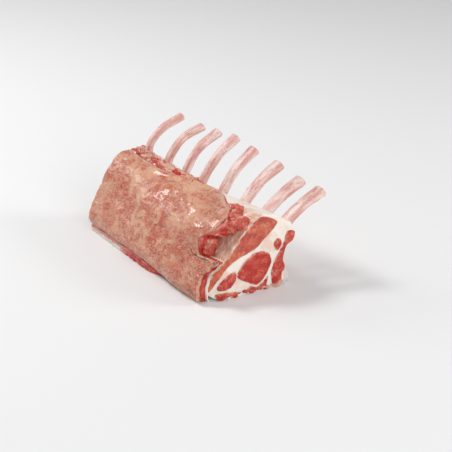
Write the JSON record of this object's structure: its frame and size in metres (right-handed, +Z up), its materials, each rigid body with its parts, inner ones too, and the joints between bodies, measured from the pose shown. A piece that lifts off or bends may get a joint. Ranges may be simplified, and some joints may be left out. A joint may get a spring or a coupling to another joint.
{
  "type": "rack of lamb",
  "caption": "Raw frenched rack of lamb: curved rib bones standing out of the trimmed loin, with its fat cap folded over and a cut face that shows the eye of the meat.",
  "frame": {"origin": "middle of the footprint, on the board that the rack lies on", "axes": "+X towards the near cut face, along the loin; +Y towards the bones' cut ends; +Z up"},
  "size_m": [0.199, 0.1412, 0.1061],
  "materials": {
    "cap_fat": "moist pinkish fat",
    "seam_fat": "smooth creamy fat",
    "lean": "wet red meat",
    "pale_lean": "moist paler red meat",
    "bone": "scraped pinkish bone"
  },
  "bodies": {
    "root": {"fat_cap": "cap_fat", "under_cap_muscle": "lean", "cap_lining": "seam_fat", "cap_muscle": "pale_lean", "seam_fat": "seam_fat", "eye_muscle": "lean", "side_muscle": "lean", "base_muscle": "pale_lean", "lower_muscle": "lean", "inner_muscle": "lean", "rim_muscle": "lean", "rib_1": "bone", "rib_2": "bone", "rib_3": "bone", "rib_4": "bone", "rib_5": "bone", "rib_6": "bone", "rib_7": "bone", "rib_8": "bone"}
  },
  "joints": []
}
